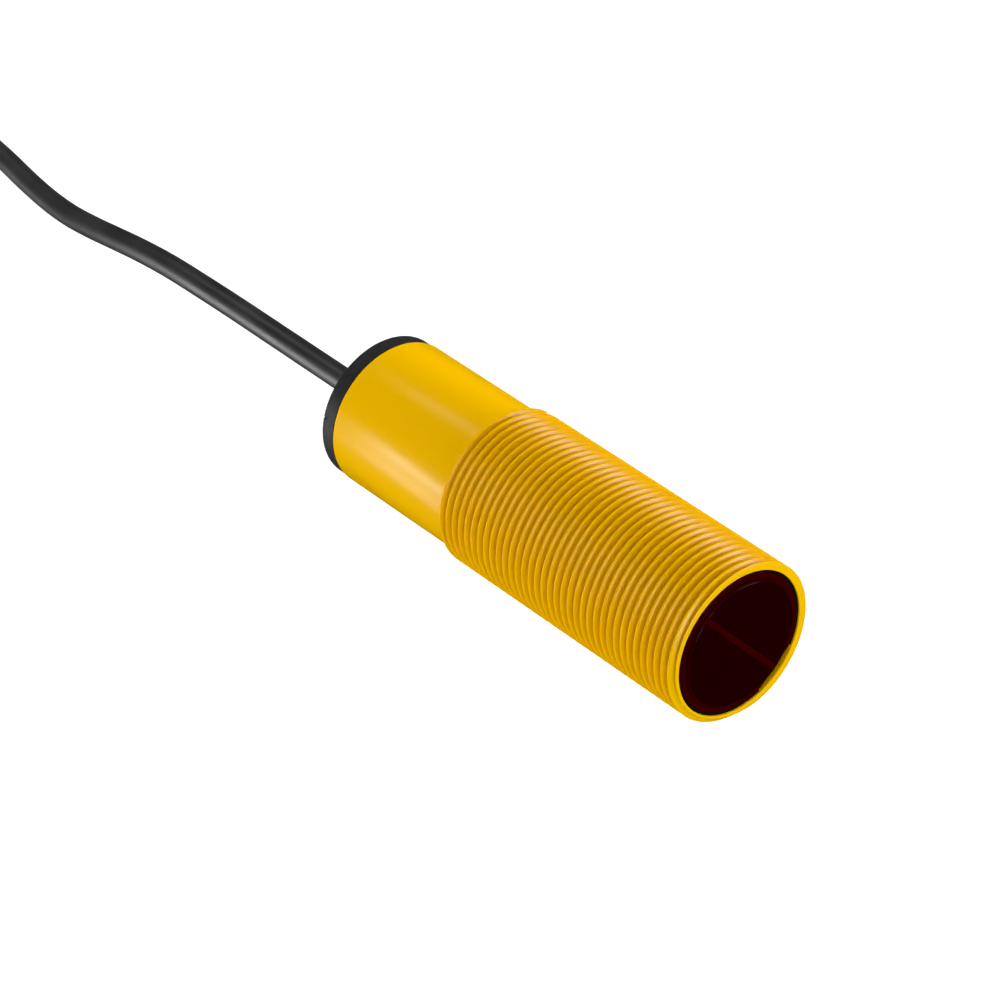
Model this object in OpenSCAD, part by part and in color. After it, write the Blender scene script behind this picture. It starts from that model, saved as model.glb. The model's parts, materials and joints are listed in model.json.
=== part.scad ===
// Cylindrical photoelectric sensor with a threaded barrel and a fixed cable.
// The optical axis runs along +X. The sensor lies on the plane z = 0 on the crests of its thread.
// Lengths named u are measured rearwards from the front rim of the barrel.

/* [Barrel] */
// Overall length from the front rim to the rear face of the cap
sensor_len = 56.2; // [54:0.1:60]
// Major diameter of the thread
thread_d = 18; // [18:0.05:18.2]
// Pitch of the thread
thread_pitch = 1; // [0.75:0.25:1.5]
// Depth of the thread below its crests
thread_depth = 0.613; // [0.45:0.001:0.615]
// Length of the first ridge, in front of the first groove
front_band = 0.9; // [0.8:0.05:1.5]
// Number of grooves in the thread
thread_turns = 35; // [28:1:38]
// Diameter of the plain rear part of the barrel
plain_d = 16.74; // [16.7:0.02:17]
// Bore of the barrel behind the optics ledge
bore_d = 14.6; // [14.5:0.05:14.7]
// Bore of the seats for the bezel and the cap
seat_d = 15.2; // [15.1:0.05:15.3]

/* [Front lens] */
// Diameter of the bezel's rim
bezel_d = 15.56; // [15.4:0.02:15.7]
// Distance from the axis to the bezel's flat
bezel_flat = 7.35; // [7.2:0.05:7.5]
// Radius of the half-moon panes
pane_r = 6.95; // [6.8:0.05:7]
// Width of the bar between the panes
bar_w = 0.68; // [0.6:0.02:0.8]
// How far the panes and the step round them stand out past the barrel's rim
pane_proud = 0.2; // [0.1:0.05:0.4]
// Turn of the lens about the axis, with the flat straight down at 0
lens_turn = 43; // [30:1:60]

/* [Rear cap] */
// Thickness of the visible part of the cap
cap_t = 2; // [1.8:0.1:2.4]
// Diameter of the visible part of the cap
cap_d = 16.52; // [16.4:0.02:16.7]
// Gap line between the barrel and the cap
cap_gap = 0.12; // [0.08:0.02:0.16]
// Length of the cable bush behind the cap
bush_out = 3; // [2:0.5:4]

/* [Electronics] */
// Width of the main board
board_w = 13; // [12.6:0.1:13.2]
// Length of the main board
board_len = 30.8; // [30.2:0.1:31]
// Thickness of the boards
board_t = 0.8; // [0.6:0.1:0.8]

/* [Cable] */
// Outer diameter of the cable
cable_d = 2.7; // [2.6:0.05:2.8]
// Diameter of one insulated wire
wire_d = 0.76; // [0.7:0.02:0.78]

/* [Hidden] */
$fn = 96;

thread_r = thread_d / 2;
root_r = thread_r - thread_depth;
plain_r = plain_d / 2;
axis_z = thread_r;
front_x = 28;
barrel_len = sensor_len - cap_t;
edge = 0.05;              // chamfer of the barrel's front edge
crest_w = thread_pitch / 8;
groove_w = thread_pitch - crest_w;
groove_floor = thread_pitch / 6;
thread_end = front_band + thread_turns * thread_pitch;

rim_bore_r = 8.1;         // bore around the bezel's rim
rim_depth = 0.9;          // depth of that bore
ledge_u = 3.2;            // ledge that the bezel seal rests on
rear_seat_u = barrel_len - 4;
key_w = 0.5;
key_u = 0.5;              // front end of the key that turns the bezel the right way

bezel_u = 0.1;            // recess of the bezel's rim
step_r = 7.1;             // raised step of the bezel round the panes
bezel_back = 2.4;
slip = 0.02;              // clearance around parts that are glued or pressed in

holder_u = 3.25;
holder_back = 15;
chamber_r = 6.4;
chamber_wall = 1.6;
chamber_back = 13.2;
diode_off = 3.2;          // distance of each diode from the axis
aperture_r = 1.2;

optics_board_u = 16;
main_board_u = 17.2;
board_top = board_t / 2;
wire_y = 0.45;            // places of the four wires in the cable's end
wire_z = 0.8;
jacket_u = 50.2;          // where the cable's jacket ends inside the sensor
guide_y = 4.6;
guide_z = 1.35;
guide_r = 0.9;

boss_r = 3.4;
cap_wall_r = 6.3;

// Route of the cable from inside the sensor to the hank
run_route = [
    [-22.2, 0, 9], [-30, 0, 9], [-38, 0, 9], [-46, 0, 9], [-54, 0, 9], [-61, 0, 8.9],
    [-67, 0.3, 8.4], [-73, 0.8, 7.4], [-79, 1.5, 6], [-85, 2.4, 4.4], [-91, 3.4, 2.95],
    [-97, 4.5, 1.95], [-103, 5.6, 1.45], [-109, 6.6, 1.35], [-115, 7.3, 1.35],
    [-120, 7.6, 1.35], [-125, 7.6, 1.35]
];
// Route of the free end, from the top of the hank down to the surface
tail_route = [
    [-128, -14, 14.85], [-124, -14, 14.7], [-120.5, -13.9, 13.4], [-117.5, -13.8, 11],
    [-114.8, -13.6, 8.2], [-112, -13.3, 5.3], [-109, -13, 2.9], [-105, -12.7, 1.55],
    [-101, -12.5, 1.35]
];
cable_sides = 12;

hank_x = -153.5;          // middle of the hank
hank_y = -3.2;
hank_h = 17;
fold_x = 23.4;            // from the hank's middle to the centre of each fold
fold_r = 8.1;             // innermost radius of the folds
waist = 6;                // how far the tie draws each side in
hank_shell = 1.5 * cable_d;
tie_w = 2.4;
tie_t = 0.8;
tie_y = 6.3;              // half the width inside the tie
tie_head = 3.6;

lead_len = 12;
lead_fan = 5;
lead_gap = 0.85;

// Place along X of a point at depth u
function at(u) = front_x - u;

// Local Z along the optical axis, pointing forwards, starting at depth u
module on_axis(u) {
    translate([at(u), 0, axis_z]) rotate([0, 90, 0]) children();
}

// As on_axis, with local X towards the bezel's flat
module on_lens(u) {
    on_axis(u) rotate(lens_turn) children();
}

module rod(r, u0, u1) {
    on_axis(u1) cylinder(r = r, h = u1 - u0);
}

module tube(r_out, r_in, u0, u1) {
    difference() {
        rod(r_out, u0, u1);
        rod(r_in, u0 - 1, u1 + 1);
    }
}

// A rod beside the axis
module side_rod(r, y, z, u0, u1) {
    translate([0, y, z]) rod(r, u0, u1);
}

// A block on the main board: middle at depth u and y, standing on height z above the axis
module block(size, u, y, z) {
    translate([at(u) - size.x / 2, y - size.y / 2, axis_z + z]) cube(size);
}

module half_moon(r, gap) {
    intersection() {
        circle(r);
        translate([-r, gap / 2]) square([2 * r, r]);
    }
}

// A half-moon prism; side is 1 for the emitter's half and -1 for the receiver's
module moon_prism(r, gap, side, u0, u1) {
    on_lens(u1) rotate(side > 0 ? 0 : 180) linear_extrude(u1 - u0) half_moon(r, gap);
}

module o_ring(r, section, u) {
    on_axis(u) rotate_extrude() translate([r, 0]) circle(section, $fn = 32);
}

// The thread's grooves and the plain bands as one outline, from the rear edge to the front rim
function groove_points(u) = [
    [thread_r, -(u + groove_w / 2)], [root_r, -(u + groove_floor / 2)],
    [root_r, -(u - groove_floor / 2)], [thread_r, -(u - groove_w / 2)]
];

barrel_outline = concat(
    [[0, -barrel_len], [plain_r - 0.15, -barrel_len], [plain_r, -barrel_len + 0.15],
     [plain_r, -thread_end - 0.35], [thread_r, -thread_end]],
    [for (i = [thread_turns - 1:-1:0])
        each groove_points(front_band + groove_w / 2 + i * thread_pitch)],
    [[thread_r, -edge], [thread_r - edge, 0], [0, 0]]
);

module barrel() {
    color("gold") {
        difference() {
            on_axis(0) rotate_extrude() polygon(barrel_outline);
            rod(rim_bore_r, -1, rim_depth);
            rod(seat_d / 2, 0, ledge_u);
            rod(bore_d / 2, 1, barrel_len - 1);
            rod(seat_d / 2, rear_seat_u, barrel_len + 1);
        }
        on_lens(rim_depth + 0.1)
            translate([-rim_bore_r - 0.1, -key_w / 2, 0])
            cube([0.7, key_w, rim_depth + 0.1 - key_u]);
    }
}

module front_bezel() {
    color("darkred") difference() {
        union() {
            rod(step_r, -pane_proud, bezel_u);
            rod(bezel_d / 2, bezel_u, rim_depth);
            rod(seat_d / 2 - slip, rim_depth, bezel_back);
        }
        for (side = [-1, 1]) moon_prism(pane_r, bar_w, side, -1, bezel_back + 1);
        on_lens(rim_depth) translate([bezel_flat, -5, -slip]) cube([2, 10, 2]);
        on_lens(rim_depth) translate([-9, -key_w / 2 - 0.05, -slip]) cube([1.7, key_w + 0.1, 2]);
    }
}

// Half-moon pane whose back bulges into its light chamber as a convex lens
module moon_lens(side) {
    pane_back = 1.8;
    bulge = 2.4;
    ball_r = 9;
    moon_prism(pane_r - slip, bar_w + 2 * slip, side, -pane_proud, pane_back);
    intersection() {
        moon_prism(chamber_r - 0.2, chamber_wall + 0.2, side, pane_back, pane_back + bulge);
        on_lens(pane_back + bulge) translate([0, side * diode_off, ball_r]) sphere(ball_r);
    }
}

module emitter_lens() {
    color("maroon") moon_lens(1);
}

module receiver_lens() {
    color("maroon") moon_lens(-1);
}

module bezel_seal() {
    color("dimgray") o_ring(7.05, 0.38, 2.8);
}

module optics_holder() {
    color("#222222") difference() {
        rod(bore_d / 2 - 0.1, holder_u, holder_back);
        for (side = [-1, 1]) {
            moon_prism(chamber_r, chamber_wall, side, holder_u - 1, chamber_back);
            on_lens(holder_back + 1) translate([0, side * diode_off, 0]) cylinder(r = aperture_r, h = 4);
        }
        on_lens(13) translate([-6.05, -0.25, 0]) cube([12.1, 0.5, 10]);
    }
}

module light_barrier() {
    color("gray") on_lens(12.9) translate([-6, -0.23, 0]) cube([12, 0.46, 12.9 - bezel_back - 0.1]);
}

module emitter_led() {
    color("mistyrose") on_lens(optics_board_u) translate([0, diode_off, 0]) {
        cylinder(r = 1.7, h = 0.7);
        cylinder(r = 1.05, h = 2);
        translate([0, 0, 2]) sphere(1.05, $fn = 48);
    }
}

module receiver_diode() {
    color("black") on_lens(optics_board_u) translate([0, -diode_off, 0]) {
        translate([-1.5, -1.4, 0]) cube([3, 2.8, 0.6]);
        cylinder(r = 0.9, h = 0.75);
    }
}

module receiver_shield() {
    color("silver") on_lens(optics_board_u) translate([0, -diode_off, 0]) difference() {
        translate([-2.1, -2, 0]) cube([4.2, 4, 0.95]);
        translate([-1.9, -1.8, -1]) cube([3.8, 3.6, 1.8]);
        cylinder(r = 1, h = 3);
    }
}

link_pitch = 1.27;
link_z = board_top + 0.3;

module optics_board() {
    color("darkgreen") difference() {
        rod(7.1, optics_board_u, optics_board_u + board_t);
        for (i = [-2:2])
            side_rod(0.32, i * link_pitch, link_z, optics_board_u - 1, optics_board_u + 2);
    }
}

module board_link() {
    color("goldenrod") for (i = [-2:2])
        side_rod(0.3, i * link_pitch, link_z, optics_board_u, optics_board_u + 4);
}

module main_board() {
    color("green") difference() {
        block([board_len, board_w, board_t], main_board_u + board_len / 2, 0, -board_top);
        for (side = [-1, 1])
            block([1.2, 1.6, 2], main_board_u + 26, side * board_w / 2, -1);
    }
}

module sensor_ic() {
    ic_u = 25;
    color("#1c1c1c") union() {
        block([5, 4, 0.9], ic_u, 0, board_top + 0.1);
        for (i = [-3:3], side = [-1, 1]) {
            block([0.3, 0.7, 0.12], ic_u + i * 0.65, side * 2.3, board_top + 0.4);
            block([0.3, 0.12, 0.52], ic_u + i * 0.65, side * 2.65, board_top);
            block([0.3, 0.5, 0.12], ic_u + i * 0.65, side * 2.85, board_top);
        }
    }
}

module output_transistors() {
    color("#2a2a2a") for (side = [-1, 1]) {
        block([4.5, 2.5, 1.4], 38.5, side * 3.2, board_top);
        block([1.6, 0.8, 0.4], 38.5, side * 4.8, board_top);
        for (i = [-1:1]) block([0.4, 0.8, 0.4], 38.5 + i * 1.5, side * 1.6, board_top);
    }
}

module smoothing_capacitor() {
    color("lightgray") translate([at(31), 0, axis_z - board_top]) mirror([0, 0, 1]) {
        translate([-2.1, -2.1, 0]) cube([4.2, 4.2, 0.7]);
        cylinder(r = 2, h = 4.4);
    }
}

module supply_inductor() {
    color("#333333") translate([at(39), 0, axis_z - board_top]) mirror([0, 0, 1]) {
        cylinder(r = 2, h = 0.6);
        cylinder(r = 1.4, h = 2.6);
        translate([0, 0, 2]) cylinder(r = 2, h = 0.6);
    }
}

module chip_parts() {
    color("tan") {
        for (i = [0:3], side = [-1, 1]) block([1, 0.5, 0.4], 30.5 + i * 1.4, side * 4.4, board_top);
        for (i = [0:2], side = [-1, 1]) block([0.8, 1.25, 0.8], 30 + i * 1.8, side * 1.4, board_top);
        for (i = [0:2]) block([0.5, 1, 0.4], 20.8, -4 + i * 4, board_top);
    }
}

module status_leds() {
    color("honeydew") for (side = [-1, 1])
        block([1.6, 1.6, 1.8], 45.4, side * guide_y, board_top);
}

module light_guides() {
    color("lightyellow") for (side = [-1, 1])
        side_rod(guide_r, side * guide_y, guide_z, 46.3, sensor_len);
}

module shield_sleeve() {
    color("lightsteelblue") tube(7.2, 7.02, 17.4, 46.2);
}

// The four wires run straight from the cable's end to pads on both faces of the board
module inner_wire(side_y, side_z) {
    side_rod(wire_d / 2, side_y * wire_y, side_z * wire_z, 45.4, jacket_u);
}

module potting() {
    color("darkslategray") difference() {
        rod(bore_d / 2 - 0.05, 46.8, jacket_u);
        block([4, board_w + 0.1, board_t + 0.1], main_board_u + board_len - 1.95, 0, -board_top - 0.05);
        for (y = [-1, 1], z = [-1, 1])
            side_rod(wire_d / 2 + 0.02, y * wire_y, z * wire_z, 46, 51);
        for (side = [-1, 1]) side_rod(guide_r + 0.02, side * guide_y, guide_z, 46, 51);
    }
}

clamp_r = 1.85;
bush_r = 2.1;
bush_front = 52;
seal_u = 52.3;

// Cap outline from the axis to the rim, with z = 0 at its rear face
cap_outline = [
    [0, 0], [cap_d / 2 - 0.25, 0], [cap_d / 2 - 0.07, 0.07], [cap_d / 2, 0.25],
    [cap_d / 2, cap_t - cap_gap], [cap_d / 2 - 0.25, cap_t - cap_gap], [cap_d / 2 - 0.25, cap_t],
    [seat_d / 2 - 0.1, cap_t], [seat_d / 2 - 0.1, 5.4], [seat_d / 2 - 0.3, 5.6],
    [cap_wall_r, 5.6], [cap_wall_r, 2.8], [boss_r, 2.8], [boss_r, 5.6], [0, 5.6]
];

module rear_cap() {
    notch_turn = 14;
    color("#2b2b2b") difference() {
        on_axis(sensor_len) rotate_extrude() polygon(cap_outline);
        rod(bush_r + 0.03, bush_front, sensor_len + 1);
        rod(clamp_r + 0.05, 49, bush_front + 0.5);
        for (side = [-1, 1])
            side_rod(guide_r + 0.02, side * guide_y, guide_z, 49, sensor_len + 1);
        on_axis(seal_u + 0.4) rotate_extrude()
            translate([6.84, 0]) square([1, 0.8]);
        translate([0, 0, axis_z]) rotate([-notch_turn, 0, 0])
            translate([at(sensor_len) - 1, -cap_d / 2 - 1, -0.13]) cube([1.6, 1.2, 0.26]);
    }
}

module cap_seal() {
    color("black") o_ring(7.22, 0.36, seal_u);
}

// Rubber bush: a sleeve in the cap and a tapered, ribbed part behind it
bush_outline = [
    [1.37, -bush_out], [1.75, -bush_out], [1.85, -bush_out + 0.5], [1.6, -bush_out + 0.6],
    [1.65, -bush_out + 1.1], [1.95, -bush_out + 1.2], [2, -bush_out + 1.7],
    [1.7, -bush_out + 1.8], [1.75, -0.5], [2.5, -0.4], [2.5, 0], [bush_r, 0],
    [bush_r, sensor_len - bush_front], [1.37, sensor_len - bush_front]
];

module cable_bush() {
    color("#1f1f1f") on_axis(sensor_len) rotate_extrude() polygon(bush_outline);
}

module cable_clamp() {
    color("burlywood") tube(clamp_r, cable_d / 2 + 0.02, 50.3, bush_front - 0.1);
}

module wire_brown() {
    color("saddlebrown") inner_wire(1, 1);
}

module wire_white() {
    color("whitesmoke") inner_wire(-1, 1);
}

module wire_blue() {
    color("royalblue") inner_wire(1, -1);
}

module wire_black() {
    color("black") inner_wire(-1, -1);
}

// A round tube along a route: one ring of points at each route point, square to the route
function unit(v) = v / norm(v);
function heading(route, i) =
    unit(route[min(i + 1, len(route) - 1)] - route[max(i - 1, 0)]);
function ring_at(route, i, r, sides) =
    let (t = heading(route, i), s = unit(cross(t, [0, 0, 1])), w = cross(s, t))
    [for (k = [0:sides - 1])
        route[i] + r * (cos(360 * k / sides) * s + sin(360 * k / sides) * w)];

module sweep(route, r, sides) {
    n = len(route);
    points = [for (i = [0:n - 1]) each ring_at(route, i, r, sides)];
    walls = [for (i = [0:n - 2], k = [0:sides - 1])
        let (a = i * sides + k, b = i * sides + (k + 1) % sides)
        [a, b, b + sides, a + sides]];
    start_face = [for (k = [sides - 1:-1:0]) k];
    end_face = [for (k = [0:sides - 1]) (n - 1) * sides + k];
    polyhedron(points, concat([start_face, end_face], walls), convexity = 6);
}

module cable_run() {
    color("#262626") sweep(run_route, cable_d / 2, cable_sides);
}

module cable_tail() {
    color("#262626") sweep(tail_route, cable_d / 2, cable_sides);
}

// One side of the hank, drawn in at the middle by the tie, and offset outwards by the windings
function side_y(x) = fold_r - waist * (1 + cos(180 * x / fold_x)) / 2;
function side_slope(x) = waist * PI / (2 * fold_x) * sin(180 * x / fold_x);
function side_point(x) =
    let (n = unit([-side_slope(x), 1])) [x, side_y(x)] + hank_shell * n;
fold_outer = fold_r + hank_shell;
hank_half = concat(
    [for (i = [-6:6]) side_point(fold_x * i / 6)],
    [for (a = [75:-15:-75]) [fold_x + fold_outer * cos(a), fold_outer * sin(a)]]
);
hank_outline = concat(hank_half, [for (p = hank_half) -p]);

module tie_band(grow) {
    translate([hank_x, hank_y, (hank_h + tie_t) / 2]) difference() {
        cube([tie_w + grow, 2 * (tie_y + tie_t), hank_h + tie_t + grow], center = true);
        cube([tie_w + 1, 2 * tie_y, hank_h - tie_t], center = true);
    }
}

module cable_hank() {
    color("#262626") difference() {
        translate([hank_x, hank_y, 0]) linear_extrude(hank_h) polygon(hank_outline);
        tie_band(0.1);
    }
}

module hank_tie() {
    color("#111111") union() {
        tie_band(0);
        translate([hank_x - tie_head / 2, hank_y - tie_y - 2.6, 6]) cube([tie_head, 2.2, tie_head]);
        translate([hank_x - tie_w / 2, hank_y - tie_y - 1.9, 9]) cube([tie_w, 0.9, 8]);
    }
}

// One stripped wire end on the surface, turned by a step of the fan
module lead(step) {
    translate([tail_route[8].x + 0.1, tail_route[8].y + step * lead_gap, wire_d / 2])
        rotate(step * lead_fan) rotate([0, 90, 0]) cylinder(d = wire_d, h = lead_len);
}

module lead_brown() {
    color("saddlebrown") lead(1.5);
}

module lead_white() {
    color("whitesmoke") lead(0.5);
}

module lead_blue() {
    color("royalblue") lead(-0.5);
}

module lead_black() {
    color("black") lead(-1.5);
}

barrel();
front_bezel();
emitter_lens();
receiver_lens();
bezel_seal();
optics_holder();
light_barrier();
emitter_led();
receiver_diode();
receiver_shield();
optics_board();
board_link();
main_board();
sensor_ic();
output_transistors();
smoothing_capacitor();
supply_inductor();
chip_parts();
status_leds();
light_guides();
shield_sleeve();
potting();
rear_cap();
cap_seal();
cable_bush();
cable_clamp();
wire_brown();
wire_white();
wire_blue();
wire_black();
cable_run();
cable_hank();
cable_tail();
hank_tie();
lead_brown();
lead_white();
lead_blue();
lead_black();
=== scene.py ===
import json
import math
import bmesh
import bpy
from mathutils import Matrix, Vector


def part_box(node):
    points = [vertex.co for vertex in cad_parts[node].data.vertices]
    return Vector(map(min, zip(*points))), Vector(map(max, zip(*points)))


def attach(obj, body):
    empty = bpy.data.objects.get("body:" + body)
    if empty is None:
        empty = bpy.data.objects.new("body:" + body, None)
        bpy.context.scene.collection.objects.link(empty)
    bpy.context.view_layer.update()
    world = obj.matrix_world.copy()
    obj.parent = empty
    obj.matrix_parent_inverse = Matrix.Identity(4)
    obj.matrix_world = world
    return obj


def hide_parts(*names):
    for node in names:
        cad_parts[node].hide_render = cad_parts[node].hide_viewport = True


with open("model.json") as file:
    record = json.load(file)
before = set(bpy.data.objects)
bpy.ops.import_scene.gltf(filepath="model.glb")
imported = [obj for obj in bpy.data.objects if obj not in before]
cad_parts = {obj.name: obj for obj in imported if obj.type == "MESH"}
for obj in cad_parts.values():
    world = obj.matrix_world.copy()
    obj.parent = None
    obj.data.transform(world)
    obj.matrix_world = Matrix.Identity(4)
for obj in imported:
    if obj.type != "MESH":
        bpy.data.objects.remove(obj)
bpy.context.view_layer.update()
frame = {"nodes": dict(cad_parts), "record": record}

# Lengths in this script are millimetres until a point or size is handed to Blender, which takes metres.
# u is the depth behind the front rim, t the angle round the optical axis from +Y towards +Z.
MM = 0.001
TURN = 2 * math.pi

thread_mount = frame["record"]["mounts"][0]
FRONT_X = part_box("barrel")[1].x
AXIS_Z = thread_mount["pos_m"][2]
THREAD_R = thread_mount["dims"]["r_mm"]
BARREL_LEN = (FRONT_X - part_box("barrel")[0].x) / MM
SENSOR_LEN = (FRONT_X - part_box("rear_cap")[0].x) / MM


def on_axis(u, r, t):
    """The point at depth u, r from the optical axis, at angle t."""
    return Vector((FRONT_X - u * MM, r * MM * math.cos(t), AXIS_Z + r * MM * math.sin(t)))


def metres(points):
    return [Vector(p) * MM for p in points]


# ---------------------------------------------------------------- camera

CAMERA_FROM_RIM = Vector((0.24835, -0.24053, 0.25318))
CAMERA_AZIMUTH = 49.843
CAMERA_ELEVATION = 34.381

camera_data = bpy.data.cameras.new("camera")
camera_data.sensor_width = 36
camera_data.lens = 155.93
camera_data.clip_start = 0.01
camera = bpy.data.objects.new("camera", camera_data)
camera.location = on_axis(0, 0, 0) + CAMERA_FROM_RIM
camera.rotation_euler = (math.radians(90 - CAMERA_ELEVATION), 0, math.radians(CAMERA_AZIMUTH))
bpy.context.collection.objects.link(camera)
bpy.context.scene.camera = camera

# ---------------------------------------------------------------- procedural materials


class Paint:
    """A material whose colour, roughness and relief are worked out by nodes."""

    def __init__(self, name, metallic=0.0, specular=0.5, clear=0.0, coat=0.0):
        self.material = bpy.data.materials.new(name)
        self.material.use_nodes = True
        self.tree = self.material.node_tree
        self.shader = self.tree.nodes["Principled BSDF"]
        self.shader.inputs["Metallic"].default_value = metallic
        self.shader.inputs["Specular IOR Level"].default_value = specular
        self.shader.inputs["Transmission Weight"].default_value = clear
        self.shader.inputs["Coat Weight"].default_value = coat
        self.place = self.node("ShaderNodeTexCoord").outputs["Object"]

    def node(self, kind, links=(), **settings):
        made = self.tree.nodes.new(kind)
        for key, value in settings.items():
            setattr(made, key, value)
        for socket, value in links:
            if isinstance(value, bpy.types.NodeSocket):
                self.tree.links.new(value, made.inputs[socket])
            else:
                made.inputs[socket].default_value = value
        return made

    def stretched(self, stretch):
        """The surface's coordinates, with the pattern on them drawn out by stretch along each axis."""
        scale = [1 / s for s in stretch]
        return self.node("ShaderNodeMapping", [("Vector", self.place), ("Scale", scale)]).outputs[0]

    def noise(self, size, detail=3, stretch=(1, 1, 1)):
        """Cloudy noise from 0 to 1 whose features are size millimetres across."""
        links = [("Vector", self.stretched(stretch)), ("Scale", 1 / (size * MM)), ("Detail", detail)]
        return self.node("ShaderNodeTexNoise", links).outputs["Fac"]

    def span(self, value, low, high, to_low=0.0, to_high=1.0):
        """value, with low to high turned into to_low to to_high."""
        links = [(0, value), (1, low), (2, high), (3, to_low), (4, to_high)]
        return self.node("ShaderNodeMapRange", links).outputs[0]

    def math(self, operation, a, b=0.0):
        return self.node("ShaderNodeMath", [(0, a), (1, b)], operation=operation).outputs[0]

    def axis_place(self):
        """Depth u behind the front rim and distance from the optical axis, in millimetres."""
        parts = self.node("ShaderNodeSeparateXYZ", [(0, self.place)]).outputs
        depth = self.math("SUBTRACT", FRONT_X, parts[0])
        up = self.math("SUBTRACT", parts[2], AXIS_Z)
        square = self.math("ADD", self.math("POWER", parts[1], 2), self.math("POWER", up, 2))
        return self.math("DIVIDE", depth, MM), self.math("DIVIDE", self.math("POWER", square, 0.5), MM)

    def mix(self, share, a, b):
        links = [("Factor", share), (6, (*a, 1) if isinstance(a, tuple) else a), (7, (*b, 1))]
        return self.node("ShaderNodeMix", links, data_type="RGBA").outputs[2]

    def colour(self, value):
        self.tree.links.new(value, self.shader.inputs["Base Color"])

    def roughness(self, value):
        self.tree.links.new(value, self.shader.inputs["Roughness"])

    def relief(self, *layers):
        """Bumps: each layer is a height from 0 to 1 and its depth in millimetres."""
        normal = None
        for height, depth in layers:
            links = [("Height", height), ("Distance", depth * MM)]
            if normal is not None:
                links.append(("Normal", normal))
            normal = self.node("ShaderNodeBump", links).outputs[0]
        self.tree.links.new(normal, self.shader.inputs["Normal"])


def mottled(name, dark, light, patch, rough, grain, depth, stretch=(1, 1, 1), **shader):
    """A material with cloudy colour patches, uneven gloss and a fine grain."""
    paint = Paint(name, **shader)
    patches = paint.noise(patch, stretch=stretch)
    paint.colour(paint.mix(paint.span(patches, 0.3, 0.7), dark, light))
    fine = paint.noise(grain, 4, stretch)
    paint.roughness(paint.span(paint.noise(patch * 0.6), 0.3, 0.7, *rough))
    paint.relief((fine, depth))
    return paint.material


SHADED_FROM, SHADED_TO = 0.3, 36.1      # u of the ends of the stretch that gets the thread's painted light and shade
SHADED_FADE = 0.1                       # half the length over which that colouring fades in at each end


def barrel_plastic():
    """Yellow moulded plastic: a fine satin grain and faint flow patches, with painted light on the thread's
    flanks and painted shade in its roots and on the bore walls within the threaded stretch."""
    paint = Paint("barrel_plastic", specular=0.25)
    flow = paint.span(paint.noise(9, 2, (3, 1, 1)), 0.3, 0.7)
    body = paint.mix(flow, (0.79, 0.428, 0.0), (0.82, 0.448, 0.0))
    u, r = paint.axis_place()
    behind_rim = paint.span(u, SHADED_FROM - SHADED_FADE, SHADED_FROM + SHADED_FADE)
    before_plain = paint.span(u, SHADED_TO + SHADED_FADE, SHADED_TO - SHADED_FADE)
    threaded = paint.math("MULTIPLY", before_plain, behind_rim)
    # Painted shade: darker towards the thread's roots, and on the bore walls that lie below them.
    root = paint.span(r, THREAD_R - 0.6, THREAD_R - 0.3, 0.55, 0.0)
    # Painted light: the flanks between root and crest are made lighter and less orange.
    above_root = paint.span(r, THREAD_R - 0.4, THREAD_R - 0.15, 0.0, 0.8)
    below_crest = paint.span(r, THREAD_R - 0.1, THREAD_R, 1.0, 0.0)
    flank_painted_light = paint.math("MULTIPLY", above_root, below_crest)
    body = paint.mix(paint.math("MULTIPLY", flank_painted_light, threaded), body, (0.88, 0.5, 0.0))
    paint.colour(paint.mix(paint.math("MULTIPLY", root, threaded), body, (0.48, 0.32, 0.0)))
    paint.roughness(paint.span(paint.noise(2.5, 3), 0.3, 0.7, 0.2, 0.26))
    paint.relief((paint.noise(0.14, 3), 0.0012), (paint.noise(5, 2, (4, 1, 1)), 0.01))
    return paint.material


def cap_plastic():
    """Black moulded plastic with a fine spark-eroded texture."""
    paint = Paint("cap_plastic", specular=0.38)
    fleck = paint.span(paint.noise(0.3, 4), 0.35, 0.65)
    paint.colour(paint.mix(fleck, (0.016, 0.016, 0.017), (0.026, 0.026, 0.028)))
    paint.roughness(paint.span(paint.noise(1.2, 3), 0.3, 0.7, 0.48, 0.6))
    paint.relief((paint.noise(0.16, 4), 0.02))
    return paint.material


def cable_jacket():
    """Black cable jacket: satin, with faint cloudy marks in its colour, uneven gloss and a fine grain."""
    paint = Paint("cable_jacket", specular=1.0, coat=1.0)
    paint.shader.inputs["Coat Roughness"].default_value = 0.52
    marks = paint.span(paint.noise(6, 4), 0.35, 0.7)
    paint.colour(paint.mix(marks, (0.018, 0.018, 0.018), (0.03, 0.03, 0.03)))
    paint.roughness(paint.span(paint.noise(3, 3), 0.3, 0.7, 0.42, 0.5))
    paint.relief((paint.noise(0.25, 3), 0.004))
    return paint.material


def red_plastic(name, dark, light, specular):
    """Red filter plastic: clear depths of colour under a polished face, with a few fine scuffs."""
    paint = Paint(name, specular=specular)
    depth = paint.span(paint.noise(4, 2), 0.3, 0.7)
    paint.colour(paint.mix(depth, dark, light))
    scuffs = paint.noise(0.6, 4, (1, 6, 1))
    paint.roughness(paint.span(scuffs, 0.45, 0.75, 0.06, 0.14))
    paint.relief((scuffs, 0.0005))
    return paint.material


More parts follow.
